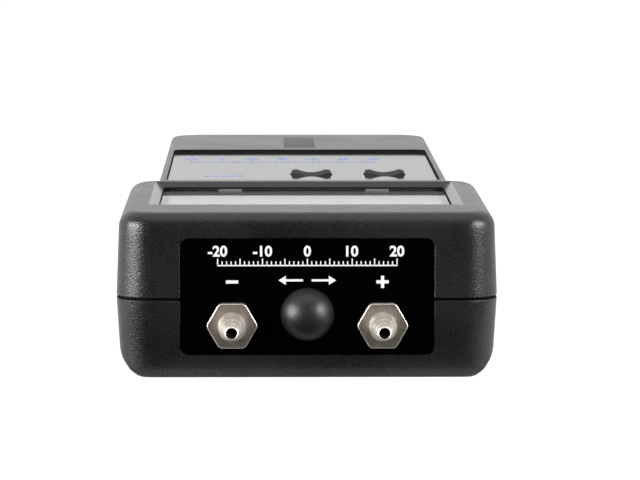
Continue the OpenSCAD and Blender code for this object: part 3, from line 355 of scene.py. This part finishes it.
def unlit_wall(face):
    """Whether a face lies in the groove at the joint line, in the keypad's recess or round the window, where
    the shade is painted.
    """
    middle = face.calc_center_median()
    upright = abs(face.normal[2]) < 0.3
    round_window = over(middle, window_lo, window_hi, 1 * mm) and middle[2] > case_top_z - 5 * mm and upright
    sunk = case_top_z - 1.4 * mm < middle[2] < case_top_z - 0.05 * mm
    in_recess = sunk and over(middle, keypad_lo, keypad_hi, 0.6 * mm)
    return in_groove(face) or in_recess or round_window


moulding("top_case", "case_top_half", case_plastic, "case", CASE_BREAK, SMOOTH_BELOW,
         ((polished_plastic, on_window_bevel), (worn_plastic, in_scoop), (painted_shade_plastic, unlit_wall)))
moulding("bottom_case", "case_bottom_half", case_plastic, "case", CASE_BREAK, SMOOTH_BELOW,
         ((painted_shade_plastic, in_groove),))

# ---- The port panel and its label ----
# A black plate held in the front opening between the halves, with a gloss black label stuck on its face.
# White ink on the label: a plain scale, a sign over each port and two arrows over the data jack.
LABEL_BLACK = (0.0004, 0.0004, 0.0005, 1)
INK_WHITE = (0.76, 0.76, 0.75, 1)
INK_DEPTH = 0.02 * mm
label_lo, label_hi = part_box("port_label")
label_mid_x = (label_lo[0] + label_hi[0]) / 2
INK_Y = label_lo[1] - INK_DEPTH / 2
dress("port_panel", grained("panel_plastic", (0.012, 0.012, 0.013, 1), 0.5, grain=1800, depth=0.01))
dress("port_label", grained("black_label", LABEL_BLACK, 0.3, grain=900, depth=0.0012, spread=0.1,
                            specks=0.012, Specular_IOR_Level=0.03))
white_ink = grained("white_ink", INK_WHITE, 0.5, grain=4000, depth=0.003, spread=0.03)


def flat_shape(points, depth):
    """A mesh of a flat outline in the XY plane, given the ink's depth along Z."""
    bm = bmesh.new()
    face = bm.faces.new([bm.verts.new((x, y, -depth / 2)) for x, y in points])
    lifted = bmesh.ops.extrude_face_region(bm, geom=[face])["geom"]
    bmesh.ops.translate(bm, vec=(0, 0, depth), verts=[v for v in lifted if isinstance(v, bmesh.types.BMVert)])
    bmesh.ops.recalc_face_normals(bm, faces=bm.faces)
    mesh = bpy.data.meshes.new("flat_shape")
    bm.to_mesh(mesh)
    bm.free()
    return mesh


def bar_shape(wide, high, depth):
    """A flat bar."""
    x, y = wide / 2, high / 2
    return flat_shape([(-x, -y), (x, -y), (x, y), (-x, y)], depth)


def figures(text, height, weight, depth):
    """Plain figures as a flat mesh, centred, of that height."""
    curve = bpy.data.curves.new("figures", "FONT")
    curve.body, curve.size, curve.offset, curve.extrude = text, 1.0, weight, 0.1
    curve.align_x, curve.align_y = "CENTER", "CENTER"
    curve.resolution_u = 4
    holder = bpy.data.objects.new("figures", curve)
    bpy.context.scene.collection.objects.link(holder)
    mesh = bpy.data.meshes.new_from_object(holder.evaluated_get(bpy.context.evaluated_depsgraph_get()))
    bpy.data.objects.remove(holder)
    xs, ys = [v.co.x for v in mesh.vertices], [v.co.y for v in mesh.vertices]
    scale = height / (max(ys) - min(ys))
    middle = Vector(((min(xs) + max(xs)) / 2, (min(ys) + max(ys)) / 2, 0))
    mesh.transform(Matrix.Diagonal((scale, scale, depth / 0.2, 1)) @ Matrix.Translation(-middle))
    return mesh


def printed(shapes, turn):
    """A bmesh of flat meshes, each with its place (x, y, z), all turned to face one way."""
    bm = bmesh.new()
    for mesh, place in shapes:
        mesh.transform(Matrix.Translation(place) @ turn)
        bm.from_mesh(mesh)
    return bm


def node_tree_inputs(group, modifier, values):
    """Sets a Geometry Nodes modifier's inputs by the identifiers of its named sockets."""
    for item in group.interface.items_tree:
        if item.item_type == "SOCKET" and item.in_out == "INPUT" and item.name in values:
            modifier[item.identifier] = values[item.name]


# A row of tick marks along X whose every so-many-th mark is long, standing up from its line
tick_row = bpy.data.node_groups.new("tick_row", "GeometryNodeTree")
for label, kind in (("Count", "NodeSocketInt"), ("Every", "NodeSocketInt"), ("Pitch", "NodeSocketFloat"),
                    ("Width", "NodeSocketFloat"), ("Short", "NodeSocketFloat"), ("Long", "NodeSocketFloat"),
                    ("Depth", "NodeSocketFloat"), ("Ink", "NodeSocketMaterial")):
    tick_row.interface.new_socket(label, in_out="INPUT", socket_type=kind)
tick_row.interface.new_socket("Mesh", in_out="OUTPUT", socket_type="NodeSocketGeometry")
given = tick_row.nodes.new("NodeGroupInput")
less_one = math_node(tick_row, "SUBTRACT", given.outputs["Count"], 1.0)
row_length = math_node(tick_row, "MULTIPLY", less_one, given.outputs["Pitch"])
start_x = math_node(tick_row, "MULTIPLY", row_length, -0.5)
start = add_node(tick_row, "ShaderNodeCombineXYZ", X=start_x)
step = add_node(tick_row, "ShaderNodeCombineXYZ", X=given.outputs["Pitch"])
line = add_node(tick_row, "GeometryNodeMeshLine", {"mode": "OFFSET"}, Count=given.outputs["Count"],
                Start_Location=start.outputs[0], Offset=step.outputs[0])
size = add_node(tick_row, "ShaderNodeCombineXYZ", X=given.outputs["Width"], Y=1.0, Z=given.outputs["Depth"])
mark = add_node(tick_row, "GeometryNodeMeshCube", Size=size.outputs[0])
raised = add_node(tick_row, "GeometryNodeTransform", Geometry=mark.outputs[0], Translation=(0, 0.5, 0))
index = add_node(tick_row, "GeometryNodeInputIndex").outputs[0]
rest = math_node(tick_row, "MODULO", index, given.outputs["Every"])
is_long = math_node(tick_row, "LESS_THAN", rest, 0.5)
extra = math_node(tick_row, "SUBTRACT", given.outputs["Long"], given.outputs["Short"])
tall = math_node(tick_row, "ADD", given.outputs["Short"], math_node(tick_row, "MULTIPLY", is_long, extra))
stretch = add_node(tick_row, "ShaderNodeCombineXYZ", X=1.0, Y=tall, Z=1.0)
marks = add_node(tick_row, "GeometryNodeInstanceOnPoints", Points=line.outputs[0], Instance=raised.outputs[0],
                 Scale=stretch.outputs[0])
real = add_node(tick_row, "GeometryNodeRealizeInstances", Geometry=marks.outputs[0])
inked = add_node(tick_row, "GeometryNodeSetMaterial", Geometry=real.outputs[0], Material=given.outputs["Ink"])
tick_row.links.new(inked.outputs[0], tick_row.nodes.new("NodeGroupOutput").inputs[0])


def tick_marks(ink, count, every, pitch, width, short, long):
    """The mesh of a row of tick marks."""
    holder = bpy.data.objects.new("tick_marks", bpy.data.meshes.new("tick_marks"))
    bpy.context.scene.collection.objects.link(holder)
    modifier = holder.modifiers.new("tick_row", "NODES")
    modifier.node_group = tick_row
    node_tree_inputs(tick_row, modifier, {"Count": count, "Every": every, "Pitch": pitch, "Width": width,
                                          "Short": short, "Long": long, "Depth": INK_DEPTH, "Ink": ink})
    mesh = bpy.data.meshes.new_from_object(holder.evaluated_get(bpy.context.evaluated_depsgraph_get()))
    bpy.data.objects.remove(holder)
    mesh.materials.clear()
    return mesh


SCALE_WIDTH = 33.6 * mm
SCALE_Z = 21.4 * mm
SCALE_FIGURES = ("-20", "-10", "0", "10", "20")
SIGN_Z = 18.3 * mm
port_xs = [sum(c[0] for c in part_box(node)) / 2 for node in ("port_fitting_1", "port_fitting_2")]
upright = Matrix.Rotation(radians(90), 4, "X")
ink_shapes = [(tick_marks(white_ink, 41, 5, SCALE_WIDTH / 40, 0.22 * mm, 0.8 * mm, 1.3 * mm),
               (label_mid_x, INK_Y, SCALE_Z)),
              (bar_shape(SCALE_WIDTH + 0.22 * mm, 0.25 * mm, INK_DEPTH), (label_mid_x, INK_Y, SCALE_Z))]
for i, text in enumerate(SCALE_FIGURES):
    x = label_mid_x + (i - 2) * SCALE_WIDTH / 4
    ink_shapes.append((figures(text, 2.1 * mm, 0.03, INK_DEPTH), (x, INK_Y, SCALE_Z + 2.7 * mm)))
for x, upright_bar in ((port_xs[0], True), (port_xs[1], False)):
    ink_shapes.append((bar_shape(2.3 * mm, 0.6 * mm, INK_DEPTH), (x, INK_Y, SIGN_Z)))
    if upright_bar:
        ink_shapes.append((bar_shape(0.6 * mm, 2.3 * mm, INK_DEPTH * 0.8), (x, INK_Y, SIGN_Z)))
ARROW_L, ARROW_H, STEM_H = 4.6 * mm, 1.7 * mm, 0.42 * mm
tail, neck, point = -ARROW_L / 2, ARROW_L / 5, ARROW_L / 2
arrow = [(tail, -STEM_H / 2), (neck, -STEM_H / 2), (neck, -ARROW_H / 2), (point, 0), (neck, ARROW_H / 2),
         (neck, STEM_H / 2), (tail, STEM_H / 2)]
for side in (-1, 1):
    points = [(side * x, y) for x, y in arrow][::side]
    ink_shapes.append((flat_shape(points, INK_DEPTH), (side * 3.1 * mm, INK_Y, SIGN_Z + 0.3 * mm)))
new_piece("port_label_ink", printed(ink_shapes, upright), white_ink, "case")

# ---- The hose fittings ----
# Nickel-plated brass, turned and bored: a hexagon with turned corners and a nozzle in three soft steps.
# Each is screwed through the panel against a rubber washer and held by a nut behind it.
NICKEL = (0.57, 0.515, 0.45, 1)
HEX_AF = 8.4 * mm
PORT_X, PORT_Z = abs(port_xs[0]), sum(c[2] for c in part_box("port_fitting_1")) / 2
BASE_R, BASE_L, TIP_R, BORE_R = 2.6 * mm, 2.2 * mm, 1.4 * mm, 1.05 * mm
BARBS = 3
HEX_L, HEX_TURNED_R, HEX_HOLE_R = 2.2 * mm, 4.66 * mm, 2.4 * mm
# Behind the hexagon: the threaded shank, and the tail with its rim that takes the tube
SHANK_R, TAIL_R, TAIL_RIM_R, TAIL_L = 2.9 * mm, 1.4 * mm, 1.5 * mm, 7.5 * mm
CONE_SLOPE = radians(30)
RING_SIDES = 96


def turned(profile, x, z, sides=RING_SIDES):
    """A closed turned body about an axis along Y from (y, radius) points, in the order round its section."""
    bm = bmesh.new()
    rings = []
    for y, r in profile:
        rings.append([bm.verts.new((x + r * cos(2 * pi * k / sides), y, z + r * sin(2 * pi * k / sides)))
                      for k in range(sides)])
    for a, b in zip(rings, rings[1:] + rings[:1]):
        for k in range(sides):
            bm.faces.new((a[k], a[(k + 1) % sides], b[(k + 1) % sides], b[k]))
    bmesh.ops.recalc_face_normals(bm, faces=bm.faces)
    return bm


def hexagon(bm, x, z, front_y, back_y, sides=RING_SIDES):
    """A hexagonal flange with turned corners and broken edges, round a hole."""
    rings = [[], [], [], [], []]
    edge = 0.12 * mm
    for k in range(sides):
        a = 2 * pi * k / sides
        reach = min(HEX_AF / 2 / cos((a % (pi / 3)) - pi / 6), HEX_TURNED_R)
        section = ((HEX_HOLE_R, front_y), (reach - edge, front_y), (reach, front_y + 0.8 * edge),
                   (reach, back_y - edge / 2), (reach - edge / 2, back_y))
        for ring, (r, y) in zip(rings, section):
            ring.append(bm.verts.new((x + r * cos(a), y, z + r * sin(a))))
    hole_back = [bm.verts.new((v.co.x, back_y, v.co.z)) for v in rings[0]]
    rings.append(hole_back)
    for step, (a, b) in enumerate(zip(rings, rings[1:] + rings[:1])):
        for k in range(sides):
            face = bm.faces.new((a[k], a[(k + 1) % sides], b[(k + 1) % sides], b[k]))
            # The front chamfer takes the paler nickel: a painted highlight
            face.material_index = int(step == 1)


nickel = grained("nickel", NICKEL, 0.32, grain=2600, depth=0.006, spread=0.12, rough_spread=0.08, cloud=500,
                 Metallic=1.0)
tree = nickel.node_tree
old_bump = next(node for node in tree.nodes if node.type == "BUMP")
spot = add_node(tree, "ShaderNodeSeparateXYZ", Vector=add_node(tree, "ShaderNodeTexCoord").outputs["Object"])
from_axis = add_node(tree, "ShaderNodeCombineXYZ", Z=math_node(tree, "SUBTRACT", spot.outputs[2], PORT_Z),
                     X=math_node(tree, "SUBTRACT", math_node(tree, "ABSOLUTE", spot.outputs[0]), PORT_X))
round_axis = add_node(tree, "ShaderNodeVectorMath", {"operation": "LENGTH"}, Vector=from_axis.outputs[0])
TOOL_FEED = 0.32 * mm
phase = math_node(tree, "MULTIPLY", round_axis.outputs["Value"], 2 * pi / TOOL_FEED)
turning = math_node(tree, "SINE", phase)
turned_bump = add_node(tree, "ShaderNodeBump", Strength=1.0, Distance=0.009 * mm, Height=turning,
                       Normal=old_bump.outputs[0])
shader = next(node for node in tree.nodes if node.type == "BSDF_PRINCIPLED")
tree.links.new(turned_bump.outputs[0], shader.inputs["Normal"])
# Painted light: a paler copy of the nickel stands in for the highlights on the turned nozzle and the
# hexagon's front chamfer, over a rougher turned finish
turned_nickel_painted_bright = grained("turned_nickel_painted_bright", (0.78, 0.72, 0.64, 1), 0.52, grain=2600, depth=0.006,
                        spread=0.12, rough_spread=0.1, cloud=500, Metallic=1.0)
for i in (1, 2):
    node = "port_fitting_%d" % i
    lo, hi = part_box(node)
    x, z = (lo[0] + hi[0]) / 2, (lo[2] + hi[2]) / 2
    tip_y, tail_y = lo[1], hi[1]
    seal_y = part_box("port_seals")[0][1]
    hex_y = seal_y - HEX_L
    barb_l = (hex_y - BASE_L - tip_y) / BARBS
    fall = (BASE_R - TIP_R) / BARBS
    soft = 0.25 * mm
    lip = 0.05 * mm
    cone_l = (fall - 2 * lip) / tan(CONE_SLOPE)
    outer = [(tail_y, BORE_R), (tail_y, TAIL_R), (tail_y - 1.4 * mm, TAIL_RIM_R), (tail_y - 1.5 * mm, TAIL_R),
             (tail_y - TAIL_L, TAIL_R), (tail_y - TAIL_L, SHANK_R), (seal_y - 0.4 * mm, SHANK_R),
             (seal_y - 0.4 * mm, BASE_R)]
    for barb in range(BARBS):
        top_y = hex_y - BASE_L - barb * barb_l
        top_r, low_r = BASE_R - barb * fall, BASE_R - (barb + 1) * fall
        outer += [(top_y + 2 * lip, top_r), (top_y - 2 * lip, top_r - lip),
                  (top_y - 2 * lip - cone_l, low_r + lip), (top_y - 6 * lip - cone_l, low_r)]
    outer += [(tip_y + soft, TIP_R), (tip_y, TIP_R - soft), (tip_y, BORE_R + 0.06 * mm),
              (tip_y + 0.06 * mm, BORE_R)]
    bm = turned(outer, x, z)
    # The turned body takes the paler nickel, painted light
    for face in bm.faces:
        face.material_index = 1
    hexagon(bm, x, z, hex_y, seal_y)
    bmesh.ops.recalc_face_normals(bm, faces=bm.faces)
    fitting = new_piece("hose_fitting_%d" % i, bm, nickel, "case", (node,), 25)
    fitting.data.materials.append(turned_nickel_painted_bright)
dress("port_nuts", nickel)
dress("port_seals", grained("seal_rubber", (0.01, 0.01, 0.01, 1), 0.6, grain=2500, depth=0.01))

# ---- The data jack and its cap ----
# A plastic jack with a nickel ring nut, wired to the board, under a soft rubber dome that plugs its bore.
# The dome is moulded with a matt skin and pulls straight out.
CAP_BLACK = (0.0075, 0.0075, 0.0078, 1)
dress("data_jack", grained("jack_plastic", (0.014, 0.014, 0.015, 1), 0.45, grain=1800, depth=0.01))
dress("data_jack_nut", nickel)
dress("data_wires", grained("red_wire", (0.42, 0.03, 0.02, 1), 0.4, grain=3000, depth=0.004))
lo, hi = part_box("jack_cap")
cap_x, cap_z = (lo[0] + hi[0]) / 2, (lo[2] + hi[2]) / 2
cap_r = (hi[0] - lo[0]) / 2
foot_y = lo[1] + cap_r
DOME_STEPS = 14
DOME_SIDES = 72
PLUG_R = 1.75 * mm
AXIS_R = 0.02 * mm
dome = [(foot_y - cap_r * sin(a), cap_r * cos(a)) for a in
        [pi / 2 * (1 - k / DOME_STEPS) * 0.995 for k in range(DOME_STEPS + 1)]]
skirt = [(foot_y - 0.1 * mm, cap_r), (foot_y, cap_r - 0.12 * mm), (foot_y, 4.2 * mm),
         (foot_y - 1.2 * mm, 4.15 * mm)]
plug = [(foot_y - 1.25 * mm, PLUG_R), (hi[1] - 0.3 * mm, PLUG_R), (hi[1], 1.4 * mm), (hi[1], AXIS_R)]
bm = turned([(foot_y - cap_r, AXIS_R)] + dome[1:-1] + skirt + plug, cap_x, cap_z, DOME_SIDES)
cap_rubber = grained("cap_rubber", CAP_BLACK, 0.45, grain=1500, depth=0.02, spread=0.15, rough_spread=0.08,
                     specks=0.03, Specular_IOR_Level=0.56)
new_piece("rubber_dome", bm, cap_rubber, "jack_cap", ("jack_cap",), 40)

# ---- The display ----
# A clear acrylic window set in from behind, over a foam gasket, a black frame and the display glass.
# Two rubber strips join the glass to the board, and dark segments show on its grey-green field.
clear_window = grained("clear_window", (0.95, 0.96, 0.96, 1), 0.03, grain=300, depth=0.0006, spread=0.01,
                       rough_spread=0.01, Transmission_Weight=1.0, IOR=1.49)
frosted_tab = grained("frosted_tab", (0.12, 0.12, 0.13, 1), 0.5, grain=2600, depth=0.01)
window_face_z = window_hi[2] - 0.36 * mm


def on_tab(face):
    """Whether a face belongs to a tab that stands on the window."""
    return face.calc_center_median()[2] > window_face_z + 0.05 * mm


moulding("display_window", "window_pane", clear_window, "case",
         others=((frosted_tab, on_tab),))
dress("window_gasket", grained("foam", (0.02, 0.02, 0.02, 1), 0.85, grain=2600, depth=0.06))
dress("lcd_frame", grained("frame_plastic", (0.014, 0.014, 0.015, 1), 0.5, grain=1800, depth=0.01))
dress("contact_strips", grained("contact_rubber", (0.55, 0.16, 0.2, 1), 0.55, grain=2000, depth=0.01))
dress("lcd_glass", grained("display_glass", (0.3, 0.34, 0.27, 1), 0.22, grain=1200, depth=0.001, spread=0.03,
                           cloud=30, Coat_Weight=0.6, Coat_Roughness=0.05))
glass_lo, glass_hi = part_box("lcd_glass")
glass_mid = ((glass_lo[0] + glass_hi[0]) / 2, (glass_lo[1] + glass_hi[1]) / 2)
INK_Z = glass_hi[2] + INK_DEPTH / 2
segment_ink = grained("segment_ink", (0.025, 0.028, 0.03, 1), 0.4, grain=3000, depth=0.001)
DIGIT_H, DIGIT_W, STROKE = 17 * mm, 8.6 * mm, 1.7 * mm
DIGITS, DIGIT_PITCH = 4, 12 * mm


def segment(length, wide):
    """One pointed bar of a seven-segment figure, along X."""
    h = wide / 2
    end = length / 2
    return [(-end, 0), (-end + h, -h), (end - h, -h), (end, 0), (end - h, h), (-end + h, h)]


def nought(x, y, slant=0.1):
    """The flat shapes of a seven-segment nought."""
    shapes = []
    half = DIGIT_H / 4
    across = DIGIT_W - 0.35 * STROKE
    # Top, two on the right, bottom, two on the left: side, height, and whether the bar stands
    for sx, sy, stands in ((0, 2, 0), (1, 1, 1), (1, -1, 1), (0, -2, 0), (-1, -1, 1), (-1, 1, 1)):
        points = segment(DIGIT_H / 2 - 0.3 * mm if stands else across, STROKE)
        points = [(-b, a) for a, b in points] if stands else points
        points = [(px + sx * across / 2, py + sy * half) for px, py in points]
        points = [(px + slant * py, py) for px, py in points]
        shapes.append((flat_shape(points, INK_DEPTH), (x, y, INK_Z)))
    return shapes


level_turn = Matrix.Identity(4)
display_shapes = []
for k in range(DIGITS):
    display_shapes += nought(glass_mid[0] + (k - (DIGITS - 1) / 2) * DIGIT_PITCH, glass_mid[1] + 1.5 * mm)
decimal_point = bar_shape(STROKE, STROKE, INK_DEPTH)
display_shapes.append((decimal_point, (glass_mid[0] + 5.2 * mm, glass_mid[1] - 7 * mm, INK_Z)))
display_shapes.append((tick_marks(segment_ink, 41, 10, 1.1 * mm, 0.35 * mm, 1.6 * mm, 2.6 * mm),
                       (glass_mid[0], glass_mid[1] - 15.5 * mm, INK_Z)))
new_piece("display_segments", printed(display_shapes, level_turn), segment_ink, "case")

# ---- The keypad label ----
# A thin dark label with a gloss face, stuck in the recess of the top, with two holes for the buttons.
# Blue ink shows a plain scale, and a rising row of bars stands beside the buttons.
LABEL_GREY = (0.02, 0.02, 0.022, 1)
INK_BLUE = (0.02, 0.11, 0.5, 1)
label_lo, label_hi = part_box("keypad_label")
dress("keypad_label", grained("grey_label", LABEL_GREY, 0.1, grain=1400, depth=0.0012, spread=0.08,
                              rough_spread=0.03, cloud=25, Specular_IOR_Level=0.5))
blue_ink = grained("blue_ink", INK_BLUE, 0.2, grain=3000, depth=0.001, spread=0.05)
INK_Z = label_hi[2] + INK_DEPTH / 2
BLUE_X, BLUE_Y, BLUE_W = -4 * mm, 24 * mm, 40 * mm
BARS_X, BARS_Y = -20 * mm, -9 * mm
blue_ticks = tick_marks(blue_ink, 31, 5, BLUE_W / 30, 0.45 * mm, 2.2 * mm, 3.8 * mm)
blue_shapes = [(blue_ticks, (BLUE_X, BLUE_Y, INK_Z)),
               (bar_shape(BLUE_W + 0.45 * mm, 0.7 * mm, INK_DEPTH), (BLUE_X, BLUE_Y, INK_Z))]
for i in range(7):
    blue_shapes.append((figures(str(i), 4.6 * mm, 0.03, INK_DEPTH),
                        (BLUE_X + (i - 3) * BLUE_W / 6, BLUE_Y + 8 * mm, INK_Z)))
for i in range(5):
    tall = (1.6 + 0.9 * i) * mm
    bar_place = (BARS_X + i * 1.7 * mm, BARS_Y + tall / 2, INK_Z)
    blue_shapes.append((bar_shape(1.1 * mm, tall, INK_DEPTH), bar_place))
new_piece("keypad_label_ink", printed(blue_shapes, level_turn), blue_ink, "case")

# ---- The buttons and switches ----
# Two black push buttons with a finger dish, each on a flange under the top and a stem on its switch.
# The switches are tactile ones, soldered to the board.
button_rubber = grained("button_rubber", (0.018, 0.018, 0.019, 1), 0.75, grain=1800, depth=0.02, spread=0.1,
                        Specular_IOR_Level=0.2)
for name in ("power", "hold"):
    moulding(name + "_button", name + "_button_cap", button_rubber, name + "_button",
             0.15 * mm)
switch_plastic = grained("switch_plastic", (0.02, 0.02, 0.021, 1), 0.45, grain=2000, depth=0.006)
plunger_plastic = grained("plunger_plastic", (0.6, 0.56, 0.45, 1), 0.4, grain=2000, depth=0.004)
for name in ("power", "hold"):
    dress(name + "_switch", switch_plastic)
    dress(name + "_plunger", plunger_plastic)

# ---- The board ----
# A green fibreglass board under six screws, with a controller, an amplifier and a few small parts.
# Solder mask covers copper tracks that show through it as a paler weave.
board_green = grained("board", (0.012, 0.11, 0.045, 1), 0.3, grain=900, depth=0.01, spread=0.35, cloud=220,
                      Coat_Weight=0.3)
dress("main_board", board_green)
chip_black = grained("chip", (0.012, 0.012, 0.013, 1), 0.5, grain=2500, depth=0.008)
dress("controller_chip", chip_black)
dress("amplifier_chip", chip_black)
dress("board_parts", grained("part_metal", (0.55, 0.55, 0.56, 1), 0.3, grain=1500, depth=0.002, Metallic=0.9))

# ---- The pressure sensor and its tubes ----
# A grey sensor block with two nipples under the board, joined to the fittings by clear silicone tubes.
# The tubes are pushed over the barbed tails and hold by their own stretch.
dress("pressure_sensor", grained("sensor_plastic", (0.09, 0.09, 0.1, 1), 0.45, grain=1800, depth=0.008))
silicone = grained("tube_silicone", (0.72, 0.71, 0.66, 1), 0.35, grain=800, depth=0.004, spread=0.05,
                   Subsurface_Weight=0.3)
dress("sensor_tube_1", silicone)
dress("sensor_tube_2", silicone)

# ---- The battery and its door ----
# A block battery on a snap lead, behind a ribbed door that slides out of the case's far end.
# The door is moulded from the case's plastic and runs on two tongues.
dress("battery", grained("battery_skin", (0.05, 0.052, 0.06, 1), 0.3, grain=900, depth=0.002, spread=0.08,
                         Metallic=0.6))
dress("battery_snap", grained("snap_vinyl", (0.012, 0.012, 0.012, 1), 0.55, grain=1500, depth=0.01))
dress("battery_wires", grained("lead_red", (0.45, 0.03, 0.02, 1), 0.4, grain=3000, depth=0.004))
moulding("battery_door", "sliding_door", case_plastic, "battery_door", 0.12 * mm)

# ---- The screws ----
# Steel screws with crossed slots: four deep in the underside, and six that hold the board to the top.
# They are driven from below.
screw_steel = grained("screw_steel", (0.5, 0.5, 0.51, 1), 0.3, grain=2500, depth=0.004, spread=0.15,
                      cloud=600, Metallic=1.0)
dress("case_screws", screw_steel)
dress("board_screws", screw_steel)
